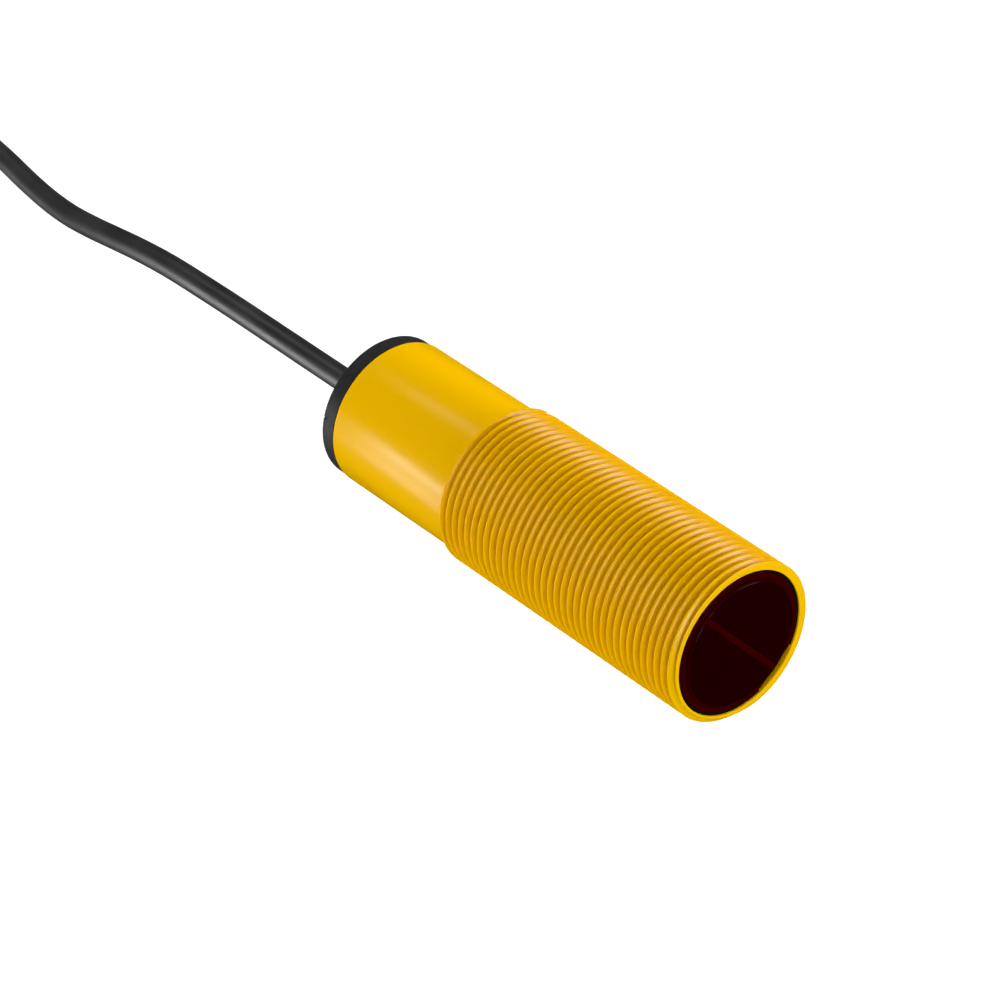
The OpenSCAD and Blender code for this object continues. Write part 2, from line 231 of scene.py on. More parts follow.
def circuit_board():
    """Green solder resist over copper tracks, which show as a lighter, raised pattern."""
    paint = Paint("board_green", specular=0.5)
    tracks = paint.node("ShaderNodeTexBrick", [("Vector", paint.stretched((1, 1, 1))), ("Scale", 420.0),
                                               ("Mortar Size", 0.03), ("Color1", (0, 0, 0, 1)),
                                               ("Color2", (0, 0, 0, 1)), ("Mortar", (1, 1, 1, 1))])
    track = tracks.outputs["Fac"]
    tone = paint.mix(track, (0.012, 0.11, 0.035), (0.03, 0.23, 0.08))
    grain = paint.span(paint.noise(0.5, 3), 0.3, 0.7, 0.0, 0.35)
    paint.colour(paint.mix(grain, tone, (0.008, 0.07, 0.025)))
    paint.roughness(paint.span(paint.noise(1, 2), 0.3, 0.7, 0.25, 0.35))
    paint.relief((track, 0.03))
    return paint.material


def floor_paint():
    """Matt paper that shows plain white to the camera, with a faint grain in the light it takes."""
    paint = Paint("floor_paper", specular=0.0)
    grain = paint.span(paint.noise(40, 3), 0.3, 0.7)
    paint.colour(paint.mix(grain, (0.2, 0.2, 0.2), (0.21, 0.21, 0.21)))
    paint.shader.inputs["Emission Color"].default_value = (1, 1, 1, 1)
    paint.shader.inputs["Emission Strength"].default_value = 1.0
    return paint.material


PAINTS = {
    "barrel_plastic": barrel_plastic(),
    "lens_red": red_plastic("lens_red", (0.026, 0.0, 0.0), (0.032, 0.0, 0.0), 0.03),
    "pane_red": red_plastic("pane_red", (0.009, 0.0, 0.0), (0.012, 0.0, 0.0), 0.12),
    "cap_plastic": cap_plastic(),
    "cable_jacket": cable_jacket(),
    "board_green": circuit_board(),
    "seal_rubber": mottled("seal_rubber", (0.012,) * 3, (0.022,) * 3, 1.5, (0.6, 0.75), 0.1, 0.006),
    "bush_rubber": mottled("bush_rubber", (0.014,) * 3, (0.022,) * 3, 1.2, (0.5, 0.62), 0.12, 0.008),
    "tie_plastic": mottled("tie_plastic", (0.012,) * 3, (0.02,) * 3, 2, (0.32, 0.42), 0.1, 0.003),
    "holder_plastic": mottled("holder_plastic", (0.01,) * 3, (0.016,) * 3, 2, (0.6, 0.75), 0.15, 0.012),
    "barrier_plastic": mottled("barrier_plastic", (0.08,) * 3, (0.12,) * 3, 2, (0.5, 0.6), 0.15, 0.008),
    "led_epoxy": mottled("led_epoxy", (0.78, 0.5, 0.46), (0.84, 0.6, 0.55), 0.8, (0.05, 0.1), 0.1, 0.001,
                         clear=0.6),
    "diode_epoxy": mottled("diode_epoxy", (0.012, 0.01, 0.016), (0.03, 0.018, 0.026), 0.8, (0.08, 0.16),
                           0.1, 0.001),
    "shield_tin": mottled("shield_tin", (0.6, 0.6, 0.62), (0.72, 0.72, 0.73), 0.7, (0.25, 0.4), 0.1, 0.003,
                          (1, 6, 1), metallic=1.0),
    "pin_gold": mottled("pin_gold", (0.75, 0.52, 0.18), (0.85, 0.62, 0.25), 0.5, (0.2, 0.3), 0.08, 0.002,
                        (6, 1, 1), metallic=1.0),
    "ic_black": mottled("ic_black", (0.014,) * 3, (0.022,) * 3, 0.6, (0.5, 0.62), 0.08, 0.006),
    "capacitor_can": mottled("capacitor_can", (0.7, 0.7, 0.72), (0.8, 0.8, 0.82), 0.8, (0.2, 0.35), 0.08,
                             0.002, (1, 1, 5), metallic=1.0),
    "ferrite": mottled("ferrite", (0.035,) * 3, (0.07,) * 3, 0.4, (0.55, 0.7), 0.08, 0.01),
    "chip_ceramic": mottled("chip_ceramic", (0.36, 0.25, 0.15), (0.46, 0.33, 0.21), 0.3, (0.4, 0.5), 0.05,
                            0.004),
    "led_package": mottled("led_package", (0.8, 0.84, 0.76), (0.9, 0.92, 0.86), 0.5, (0.15, 0.25), 0.06,
                           0.002),
    "guide_clear": mottled("guide_clear", (0.78, 0.78, 0.7), (0.86, 0.86, 0.8), 0.8, (0.12, 0.2), 0.1,
                           0.002, clear=0.5),
    "sleeve_foil": mottled("sleeve_foil", (0.5, 0.5, 0.53), (0.66, 0.66, 0.68), 1.2, (0.25, 0.4), 0.3,
                           0.02, metallic=1.0),
    "resin": mottled("resin", (0.03, 0.045, 0.042), (0.05, 0.065, 0.06), 1.5, (0.2, 0.4), 0.4, 0.01),
    "clamp_brass": mottled("clamp_brass", (0.6, 0.42, 0.18), (0.72, 0.53, 0.26), 0.8, (0.28, 0.42), 0.1,
                           0.003, (5, 1, 1), metallic=1.0),
    "wire_brown": mottled("wire_brown", (0.1, 0.035, 0.012), (0.14, 0.05, 0.02), 1.2, (0.35, 0.45), 0.1,
                          0.002),
    "wire_white": mottled("wire_white", (0.72, 0.72, 0.69), (0.82, 0.82, 0.8), 1.2, (0.35, 0.45), 0.1,
                          0.002),
    "wire_blue": mottled("wire_blue", (0.02, 0.075, 0.3), (0.035, 0.11, 0.42), 1.2, (0.35, 0.45), 0.1,
                         0.002),
    "wire_black": mottled("wire_black", (0.012,) * 3, (0.02,) * 3, 1.2, (0.35, 0.45), 0.1, 0.002),
}
TINNED_COPPER = mottled("tinned_copper", (0.62, 0.58, 0.52), (0.74, 0.7, 0.65), 0.4, (0.25, 0.4), 0.05, 0.002,
                        metallic=1.0)
# Painted shade: black for the ring that fills the gap round the bezel.
SHADE_RING_BLACK = mottled("shade_ring_black", (0.001,) * 3, (0.004,) * 3, 1, (0.6, 0.75), 0.1, 0.006,
                       specular=0.04)

SLOT_OF = {part["node"]: part["material_slot"] for part in frame["record"]["subparts"]}
for name, cad_node in frame["nodes"].items():
    cad_node.data.materials.clear()
    cad_node.data.materials.append(PAINTS[SLOT_OF[name]])

# ---------------------------------------------------------------- shapes

MERGE = 2e-7            # metres; points nearer than this are one point
CREASE = 35             # degrees; faces that meet at more than this keep a sharp edge


def piece(name, points, faces, slot, replaced=(), material=None, sharp=CREASE):
    """A piece of the sensor from points in metres: doubled points are merged, normals point outwards
    and edges of more than sharp degrees are creased."""
    mesh = bpy.data.meshes.new(name)
    mesh.from_pydata(points, [], faces)
    shape = bmesh.new()
    shape.from_mesh(mesh)
    bmesh.ops.remove_doubles(shape, verts=shape.verts, dist=MERGE)
    bmesh.ops.dissolve_degenerate(shape, edges=shape.edges, dist=MERGE)
    bmesh.ops.recalc_face_normals(shape, faces=shape.faces)
    shape.to_mesh(mesh)
    shape.free()
    mesh.shade_smooth()
    mesh.set_sharp_from_angle(angle=math.radians(sharp))
    mesh.materials.append(material or PAINTS[slot])
    made = bpy.data.objects.new(name, mesh)
    bpy.context.collection.objects.link(made)
    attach(made, "root")
    if replaced:
        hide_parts(*replaced)
    return made


def strip_faces(columns, rows, wrap_columns, wrap_rows):
    """Four-sided faces over columns of rows points each, numbered column by column."""
    faces = []
    for c in range(columns if wrap_columns else columns - 1):
        for r in range(rows if wrap_rows else rows - 1):
            across = (c + 1) % columns
            up = (r + 1) % rows
            faces.append((c * rows + r, across * rows + r, across * rows + up, c * rows + up))
    return faces


def rounded(corners, steps=5):
    """A closed outline with each corner (x, y, radius) rounded off; a corner of radius 0 stays sharp."""
    out = []
    for i, (x, y, radius) in enumerate(corners):
        here = Vector((x, y))
        if radius == 0:
            out.append((x, y))
            continue
        to_last = (Vector(corners[i - 1][:2]) - here).normalized()
        to_next = (Vector(corners[(i + 1) % len(corners)][:2]) - here).normalized()
        half = to_last.angle(to_next) / 2
        centre = here + (to_last + to_next).normalized() * radius / math.sin(half)
        first = here + to_last * radius / math.tan(half) - centre
        last = here + to_next * radius / math.tan(half) - centre
        out += [tuple(centre + first.normalized().slerp(last.normalized(), k / steps) * radius)
                for k in range(steps + 1)]
    return out


def arc(r, start, end, steps):
    """Points along a circle of radius r about the origin, from one angle to another, both included."""
    return [(r * math.cos(a), r * math.sin(a))
            for a in (start + (end - start) * k / steps for k in range(steps + 1))]


def turned(name, outline, slot, replaced=(), count=128):
    """A piece turned about the optical axis from a closed outline of (u, r)."""
    points = [on_axis(u, r, TURN * k / count) for k in range(count) for u, r in outline]
    return piece(name, points, strip_faces(count, len(outline), True, True), slot, replaced)


def plate(name, outlines, thickness, bevel, place, slot, replaced=()):
    """A flat plate with rounded edges: the first outline is its rim and the others are holes.
    place turns the plate's own x, y and height above its middle into a point in the row frame."""
    drawing = bpy.data.curves.new(name, "CURVE")
    drawing.dimensions = "2D"
    drawing.fill_mode = "BOTH"
    drawing.extrude = thickness / 2 - bevel
    drawing.bevel_depth = bevel
    drawing.offset = -bevel
    drawing.bevel_resolution = 2
    for outline in outlines:
        spline = drawing.splines.new("POLY")
        spline.points.add(len(outline) - 1)
        for point, (x, y) in zip(spline.points, outline):
            point.co = (x, y, 0, 1)
        spline.use_cyclic_u = True
    holder = bpy.data.objects.new(name + "_drawing", drawing)
    bpy.context.collection.objects.link(holder)
    bpy.context.view_layer.update()
    mesh = bpy.data.meshes.new_from_object(holder.evaluated_get(bpy.context.evaluated_depsgraph_get()))
    bpy.data.objects.remove(holder)
    points = [place(*v.co) for v in mesh.vertices]
    faces = [tuple(p.vertices) for p in mesh.polygons]
    bpy.data.meshes.remove(mesh)
    return piece(name, points, faces, slot, replaced)


def cut(target, points, faces):
    """Takes a closed shape away from a piece."""
    mesh = bpy.data.meshes.new("cutter")
    mesh.from_pydata(points, [], faces)
    shape = bmesh.new()
    shape.from_mesh(mesh)
    bmesh.ops.recalc_face_normals(shape, faces=shape.faces)
    shape.to_mesh(mesh)
    shape.free()
    cutter = bpy.data.objects.new("cutter", mesh)
    bpy.context.collection.objects.link(cutter)
    modifier = target.modifiers.new("cut", "BOOLEAN")
    modifier.object = cutter
    modifier.solver = "EXACT"
    bpy.context.view_layer.update()
    result = bpy.data.meshes.new_from_object(target.evaluated_get(bpy.context.evaluated_depsgraph_get()))
    target.modifiers.clear()
    bpy.data.objects.remove(cutter)
    result.set_sharp_from_angle(angle=math.radians(CREASE))
    target.data = result


def smooth_path(points, step):
    """A smooth curve through the points, as points about step apart."""
    points = [2 * points[0] - points[1], *points, 2 * points[-1] - points[-2]]
    out = []
    for a, b, c, d in zip(points, points[1:], points[2:], points[3:]):
        count = max(1, round((c - b).length / step))
        for k in range(count):
            s = k / count
            out.append(0.5 * (2 * b + (c - a) * s + (2 * a - 5 * b + 4 * c - d) * s ** 2
                              + (3 * b - a - 3 * c + d) * s ** 3))
    return [*out, points[-2]]


def path_frames(path):
    """For each point of a path, two directions square to it that turn with it as little as possible."""
    frames = []
    side = None
    for i, here in enumerate(path):
        along = (path[min(i + 1, len(path) - 1)] - path[max(i - 1, 0)]).normalized()
        side = along.orthogonal() if side is None else side - along * side.dot(along)
        side.normalize()
        frames.append((here, side, along.cross(side)))
    return frames


def swept(path, section, start=0):
    """Points and faces of a solid swept along a path; section gives the outline at a share of the length."""
    points = []
    frames = path_frames(path)
    for i, (here, side, up) in enumerate(frames):
        points += [here + side * x + up * y for x, y in section(i / (len(frames) - 1))]
    rows = len(points) // len(frames)
    faces = strip_faces(len(frames), rows, False, True)
    faces.append(tuple(range(rows)))
    faces.append(tuple(range(len(points) - rows, len(points))))
    return points, [tuple(start + k for k in face) for face in faces]


def round_section(r, sides):
    """An outline function for swept: a circle of r metres."""
    circle = [(r * math.cos(TURN * k / sides), r * math.sin(TURN * k / sides)) for k in range(sides)]
    return lambda share: circle


# ---------------------------------------------------------------- barrel

PITCH = 1.0
FIRST_EDGE = 0.9                    # u of the first ridge's rear edge at angle REFERENCE
THREAD_TURNS = 35
REFERENCE = math.radians(135)
THREAD_END = math.radians(50)       # angle at which the thread is cut off at its rear end
FADE_FROM = math.radians(235)       # angles between which the groove cut by the front face fades away
FADE_TO = math.radians(310)
PLAIN_R = 8.37
EDGE = 0.05                         # chamfer of the front edge
EDGE_ROWS = 2                       # points of the chamfer in each section of the barrel
RIM_BORE_R = 8.1
RIM_DEPTH = 0.9
SEAT_R = 7.6
BORE_R = 7.3
LEDGE_U = 3.2
REAR_SEAT_U = BARREL_LEN - 4
HALF_WIDTH = 0.4375                 # from a ridge's edge to the middle of the groove beside it
# Half a groove, from its middle to the crest: distance from the middle and depth
HALF_GROOVE = [(0, 0.613), (0.05, 0.602), (0.1, 0.555), (0.17, 0.44), (0.27, 0.265), (0.35, 0.13),
               (0.41, 0.048), (0.45, 0.012), (0.49, 0)]
ACROSS_GROOVE = [-p for p, _ in HALF_GROOVE[:0:-1]] + [p for p, _ in HALF_GROOVE]
KEY_TURN = math.radians(133)        # angle of the bezel's key, opposite its flat
KEY_W = 0.5
KEY_H = 0.6                         # how far the key stands out from the bore
KEY_U = 0.5                         # depth of the key's front face
COLUMNS = 144


def groove_middle(turn, t):
    """Depth u of a groove's middle at angle t. The thread is right-handed, so u falls as t grows."""
    return FIRST_EDGE + (HALF_WIDTH + turn - (t - REFERENCE) / TURN) * PITCH


def groove_depth(turn, p, t):
    """Depth of a groove at p from its middle. The one cut by the front face, turn -1, fades away."""
    share = 1
    if turn < 0:
        share = min(1, max(0, (FADE_TO - t) / (FADE_TO - FADE_FROM)))
        share = share * share * (3 - 2 * share)
    for (p0, d0), (p1, d1) in zip(HALF_GROOVE, HALF_GROOVE[1:]):
        if abs(p) <= p1:
            return share * (d0 + (d1 - d0) * (abs(p) - p0) / (p1 - p0))
    return 0


def edge_rows(t):
    """The chamfer of the front edge at angle t, lower where a groove is cut by the front face."""
    r = THREAD_R - groove_depth(-1, EDGE - groove_middle(-1, t), t)
    return [(0, r - EDGE), (EDGE, r)]


def thread_rows(t):
    """The thread's outline at angle t, from the front edge to the root behind the last crest."""
    edge = edge_rows(t)[-1]
    rows = []
    for turn in range(-1, THREAD_TURNS + 1):
        middle = groove_middle(turn, t)
        for p in ACROSS_GROOVE if turn < THREAD_TURNS else ACROSS_GROOVE[:len(HALF_GROOVE)]:
            u = middle + p
            rows.append(edge if u < EDGE else (u, THREAD_R - groove_depth(turn, p, t)))
    return rows


def rim_rows(t):
    """The bore round the bezel at angle t, from its ledge to the front face. The key narrows it
    behind KEY_U."""
    r = RIM_BORE_R
    on_key = abs(t - KEY_TURN) * r <= KEY_W / 2 + 1e-6
    key_r = r - KEY_H if on_key else r
    return [(RIM_DEPTH, key_r), (KEY_U, key_r), (KEY_U, r), (0.05, r), (0.01, r + 0.01), (0, r + 0.04)]


def barrel_column(t, plain_ring):
    """The barrel's closed section at angle t: front edge, thread, plain part, then forward through
    the bore."""
    thread = thread_rows(t)
    plain = [(thread[-1][0] + 0.05, PLAIN_R), (plain_ring, PLAIN_R)]
    rear = [(BARREL_LEN - 0.15, PLAIN_R), (BARREL_LEN - 0.04, PLAIN_R - 0.04), (BARREL_LEN, PLAIN_R - 0.15),
            (BARREL_LEN, SEAT_R)]
    bore = [(REAR_SEAT_U, SEAT_R), (REAR_SEAT_U, BORE_R), (LEDGE_U, BORE_R), (LEDGE_U, SEAT_R),
            (RIM_DEPTH, SEAT_R)]
    return [*edge_rows(t), *thread, *plain, *rear, *bore, *rim_rows(t)]


def make_barrel():
    """One closed skin. The thread is a helix, so a turn of it ends one groove further along than it began:
    the first and the last column stand at the same angle, and the thread's cut end closes the gap."""
    key_edges = [KEY_TURN + side * (KEY_W / 2 + extra) / RIM_BORE_R
                 for side in (-1, 1) for extra in (0, 0.02)]
    angles = sorted([THREAD_END + TURN * k / COLUMNS for k in range(COLUMNS + 1)] + key_edges)
    plain_ring = groove_middle(THREAD_TURNS, THREAD_END) + 0.05
    columns = [barrel_column(t, plain_ring) for t in angles]
    rows = len(columns[0])
    points = [on_axis(u, r, t) for t, column in zip(angles, columns) for u, r in column]
    faces = strip_faces(len(angles), rows, False, True)
    last_root = EDGE_ROWS + len(ACROSS_GROOVE) * THREAD_TURNS + len(HALF_GROOVE) - 1
    plain_row = EDGE_ROWS + len(thread_rows(THREAD_END))
    faces.append((*range(last_root, plain_row + 1), (len(angles) - 1) * rows + plain_row))
    return piece("barrel_body", points, faces, "barrel_plastic", ["barrel"], sharp=50)


make_barrel()

# ---------------------------------------------------------------- front lens

BEZEL_R = 7.78
BEZEL_FLAT = 7.35
BEZEL_U = 0.1
STEP_R = 7.1                        # raised step of the bezel, as proud as the panes it holds
BEZEL_BACK = 2.4
KEY_SLOT = 0.48                     # depth of the bezel's slot for the key
PANE_R = 6.95
PANE_PROUD = 0.2
PANE_BACK = 1.8
BAR_W = 0.68
# Depths of the black ring of painted shade in the gap round the bezel.
SHADE_RING_FRONT = 0.18
SHADE_RING_REAR = 0.42
SHADE_RING_STEPS = 60


def on_lens(x, y, u):
    """A point of the lens: x points away from the key, towards the bezel's flat, and y towards the
    emitter's half."""
    across = KEY_TURN + math.pi
    return on_axis(u, math.hypot(x, y), across - math.atan2(y, x))


def half_moon(r, gap, corner=0.12):
    """Outline of the half circle of radius r whose straight side is gap above the middle."""
    start = math.asin(gap / r)
    curve = arc(r, start + 0.02, math.pi - start - 0.02, 40)
    return [*curve, (-r * math.cos(start) + corner, gap), (r * math.cos(start) - corner, gap)]


def make_lens():
    """The bezel, as a flange, a raised step and a skirt in the barrel, and the two panes in it."""
    flat = math.acos(BEZEL_FLAT / BEZEL_R)
    notch = (KEY_W / 2 + 0.05) / BEZEL_R
    notch_floor = BEZEL_R - KEY_SLOT
    rim = arc(BEZEL_R, flat, math.pi - notch, 48)
    rim += [(-notch_floor, KEY_W / 2 + 0.05), (-notch_floor, -KEY_W / 2 - 0.05)]
    rim += arc(BEZEL_R, math.pi + notch, TURN - flat, 48)
    upper_hole = half_moon(PANE_R, BAR_W / 2)
    lower_hole = [(-x, -y) for x, y in upper_hole]
    flange = RIM_DEPTH - BEZEL_U
    plate("bezel", [rim, upper_hole, lower_hole], flange, 0.05,
          lambda x, y, h: on_lens(x, y, BEZEL_U + flange / 2 - h), "lens_red", ["front_bezel"])
    step = 0.1 + BEZEL_U + PANE_PROUD
    plate("bezel_step", [arc(STEP_R, 0, TURN, 128)[:-1], upper_hole, lower_hole], step, 0.04,
          lambda x, y, h: on_lens(x, y, step / 2 - PANE_PROUD - h), "lens_red")
    skirt = BEZEL_BACK - RIM_DEPTH
    plate("bezel_skirt", [arc(SEAT_R - 0.02, 0, TURN, 96)[:-1], upper_hole, lower_hole], skirt, 0.02,
          lambda x, y, h: on_lens(x, y, RIM_DEPTH + skirt / 2 - h), "lens_red")
    thickness = PANE_BACK + PANE_PROUD
    for name, side in (("emitter", 1), ("receiver", -1)):
        plate(name + "_pane", [half_moon(PANE_R - 0.02, BAR_W / 2 + 0.02)], thickness, 0.08,
              lambda x, y, h: on_lens(side * x, side * y, PANE_BACK - thickness / 2 - h), "pane_red",
              [name + "_lens"])


def make_shade_ring():
    """Painted shade: a black ring in the gap round the bezel, in two lengths that stop short of the bezel's
    flat and its key."""
    flat = math.acos(BEZEL_FLAT / BEZEL_R)
    inner, outer = BEZEL_R + 0.01, RIM_BORE_R - 0.01
    section = [(SHADE_RING_FRONT, inner), (SHADE_RING_FRONT, outer), (SHADE_RING_REAR, outer), (SHADE_RING_REAR, inner)]
    for name, side in (("left", 1), ("right", -1)):
        first, last = KEY_TURN + side * 0.05, KEY_TURN + side * (math.pi - flat - 0.02)
        angles = [first + (last - first) * k / SHADE_RING_STEPS for k in range(SHADE_RING_STEPS + 1)]
        points = [on_axis(u, r, t) for t in angles for u, r in section]
        faces = strip_faces(SHADE_RING_STEPS + 1, len(section), False, True)
        faces += [tuple(range(len(section))), tuple(range(len(points) - len(section), len(points)))]
        piece("shade_ring_" + name, points, faces, "seal_rubber", material=SHADE_RING_BLACK)


make_lens()
# The black ring of painted shade in the gap round the bezel.
make_shade_ring()

# ---------------------------------------------------------------- rear cap and cable bush

CAP_R = 8.26
CAP_GAP = 0.12
CAP_PLUG = 5.6                      # from the cap's rear face to the front of its plug
BUSH_R = 2.1
BUSH_OUT = 3
GUIDE_R = 0.9
CABLE_D = 2.7
NOTCH_TURN = math.radians(166)
guide_low, guide_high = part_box("light_guides")
GUIDE_Y = guide_high.y / MM - GUIDE_R
GUIDE_Z = (guide_high.z + guide_low.z) / 2


def rod(u0, u1, r, y=0.0, z=AXIS_Z, sides=48):
    """Points in metres and faces of a round rod along the optical axis."""
    return swept([Vector((FRONT_X - u * MM, y * MM, z)) for u in (u0, u1)], round_section(r * MM, sides))


def notch_block():
    """The block that takes the small notch out of the cap's rear edge."""
    corners = [(u, r, side) for u in (SENSOR_LEN - 0.6, SENSOR_LEN + 1) for r, side in
               ((CAP_R - 0.2, -1), (CAP_R - 0.2, 1), (CAP_R + 1, 1), (CAP_R + 1, -1))]
    points = [on_axis(u, r, NOTCH_TURN + side * 0.13 / r) for u, r, side in corners]
    return points, [(0, 1, 2, 3), (7, 6, 5, 4), (0, 4, 5, 1), (1, 5, 6, 2), (2, 6, 7, 3), (3, 7, 4, 0)]


def make_cap():
    front = BARREL_LEN
    rear = SENSOR_LEN
    outline = rounded([
        (rear, BUSH_R + 0.03, 0), (rear, 3.3, 0.05), (rear - 0.12, 3.42, 0.05), (rear - 0.12, 7.2, 0.05),
        (rear, 7.32, 0.05), (rear, CAP_R, 0.22), (front + CAP_GAP, CAP_R, 0.05),
        (front + CAP_GAP, CAP_R - 0.25, 0), (front, CAP_R - 0.25, 0), (front, SEAT_R - 0.1, 0),
        (rear - CAP_PLUG, SEAT_R - 0.1, 0.2), (rear - CAP_PLUG, 6.3, 0), (rear - 2.8, 6.3, 0.2),
        (rear - 2.8, BUSH_R + 0.03, 0)])
    cap = turned("cap", outline, "cap_plastic", ["rear_cap"], 160)
    for side in (-1, 1):
        cut(cap, *rod(rear - 4, rear + 1, GUIDE_R + 0.02, side * GUIDE_Y, GUIDE_Z))
    cut(cap, *notch_block())


def make_bush():
    """Rubber bush with two ribs round its tapered end."""
    rear = SENSOR_LEN
    inner = CABLE_D / 2 + 0.02
    outline = rounded([
        (rear - 4.2, inner, 0), (rear - 4.2, BUSH_R, 0), (rear, BUSH_R, 0), (rear, 2.5, 0),
        (rear + 0.4, 2.5, 0.15), (rear + 0.5, 1.75, 0.15), (rear + 1.2, 1.7, 0.08), (rear + 1.3, 2, 0.12),
        (rear + 1.75, 1.95, 0.12), (rear + 1.9, 1.62, 0.08), (rear + 2.4, 1.6, 0.08),
        (rear + 2.5, 1.85, 0.1), (rear + BUSH_OUT, 1.75, 0.15), (rear + BUSH_OUT, inner, 0)], 4)
    return turned("bush", outline, "bush_rubber", ["cable_bush"], 64)


make_cap()
bush = make_bush()

# ---------------------------------------------------------------- cable

RUN_ROUTE = [
    (-22.2, 0, 9), (-30, 0, 9), (-38, 0, 9), (-46, 0, 9), (-54, 0, 9), (-61, 0, 8.9),
    (-67, 0.3, 8.4), (-73, 0.8, 7.4), (-79, 1.5, 6), (-85, 2.4, 4.4), (-91, 3.4, 2.95),
    (-97, 4.5, 1.95), (-103, 5.6, 1.45), (-109, 6.6, 1.35), (-115, 7.3, 1.35),
    (-120, 7.6, 1.35), (-125, 7.6, 1.35)]
TAIL_ROUTE = [
    (-128, -14, 14.85), (-124, -14, 14.7), (-120.5, -13.9, 13.4), (-117.5, -13.8, 11),
    (-114.8, -13.6, 8.2), (-112, -13.3, 5.3), (-109, -13, 2.9), (-105, -12.7, 1.55),
    (-101, -12.5, 1.35)]
HANK_X = -153.5
HANK_Y = -3.2
HANK_H = 17
FOLD_X = 23.4
FOLD_R = 8.1
WAIST = 6
LAYERS = 6
TIE_LIFT = 0.8


def hank_loop():
    """One turn of the hank's inner column about the hank's middle, as points with outward directions."""
    def side_point(x):
        y = FOLD_R - WAIST * (1 + math.cos(math.pi * x / FOLD_X)) / 2
        slope = WAIST * math.pi / (2 * FOLD_X) * math.sin(math.pi * x / FOLD_X)
        return Vector((x, y)), Vector((-slope, 1)).normalized()

    def fold_point(a):
        outward = Vector((math.cos(a), math.sin(a)))
        return Vector((FOLD_X, 0)) + outward * FOLD_R, outward

    side = [side_point(FOLD_X * (1 - k / 10)) for k in range(20)]
    fold = [fold_point(math.pi / 2 - math.pi * k / 10) for k in range(10)]
    far_fold = [(Vector((-p.x, p.y)), Vector((-n.x, n.y))) for p, n in fold]
    return side + far_fold + [(-p, -n) for p, n in side] + [(-p, -n) for p, n in far_fold]


def hank_turns():
    """The stored cable: two columns of turns, LAYERS high. It changes column or layer once in each turn."""
    loop = hank_loop()
    places = [(column, layer) for layer in range(LAYERS)
              for column in ((1, 0) if layer % 2 == 0 else (0, 1))]
    route = []
    for i, (column, layer) in enumerate(places):
        next_column, next_layer = places[min(i + 1, len(places) - 1)]
        change = 0.95 - 0.05 * i
        for k, (point, outward) in enumerate(loop):
            if i == len(places) - 1 and k >= len(loop) * 0.7:
                break
            share = min(1, max(0, (k / len(loop) - change + 0.05) / 0.1))
            share = share * share * (3 - 2 * share)
            offset = (column + (next_column - column) * share) * CABLE_D
            height = (layer + (next_layer - layer) * share + 0.5) * CABLE_D
            x, y = point + outward * offset
            lift = TIE_LIFT * math.exp(-(x / 5) ** 2)
            route.append((HANK_X + x, HANK_Y + y, height + lift))
    return route


def make_cable():
    route = metres([*RUN_ROUTE, *hank_turns()[1:], *TAIL_ROUTE])
    path = smooth_path(route, 1.25 * MM)
    points, faces = swept(path, round_section(CABLE_D / 2 * MM, 20))
    cable = piece("cable", points, faces, "cable_jacket", ["cable_run", "cable_hank", "cable_tail"],
                  sharp=60)
    return cable, path


cable, cable_path = make_cable()

# ---------------------------------------------------------------- tie round the stored cable

TIE_W = 2.4
TIE_T = 0.8
TIE_Y = 6.3                         # half the width inside the tie
TIE_HEAD = 3.6


def box_outline(x0, x1, y0, y1, radius):
    return rounded([(x0, y0, radius), (x1, y0, radius), (x1, y1, radius), (x0, y1, radius)])


def make_tie():
    """A cable tie: a strap round the hank, a head with a slot, and the strap's toothed tail."""
    outer = box_outline(-TIE_Y - TIE_T, TIE_Y + TIE_T, 0, HANK_H + TIE_T, 1.6)
    inner = box_outline(-TIE_Y, TIE_Y, TIE_T, HANK_H, 0.9)
    band = plate("tie_band", [outer, inner], TIE_W, 0.15,
                 lambda y, z, x: Vector((HANK_X + x, HANK_Y + y, z)) * MM, "tie_plastic", ["hank_tie"])
    near = HANK_Y - TIE_Y
    head_z = 6
    slot = box_outline(-TIE_W / 2, TIE_W / 2, -0.55, 0.55, 0.1)
    half = TIE_HEAD / 2
    head = plate("tie_head", [box_outline(-half, half, -1.1, 1.1, 0.35), slot], TIE_HEAD, 0.2,
                 lambda x, y, z: Vector((HANK_X + x, near - 1.5 + y, head_z + half + z)) * MM, "tie_plastic")
    teeth = [(0.35 + (0.12 if k % 2 else 0), 0.3 * k) for k in range(27)]
    outline = [(-0.1, 0), *teeth, (-0.1, 0.3 * 26)]
    tail = plate("tie_tail", [outline], TIE_W - 0.4, 0.04,
                 lambda y, z, x: Vector((HANK_X + x, near - 1.5 - y, head_z + 3 + z)) * MM, "tie_plastic")
    return [band, head, tail]


# ---------------------------------------------------------------- stripped wire ends

WIRE_D = 0.76
LEAD_LEN = 12
LEAD_FAN = 5
LEAD_GAP = 0.85
STRIPPED = 4.5                      # length of bare conductor at each end
STRAND_D = 0.2
STRANDS = 6


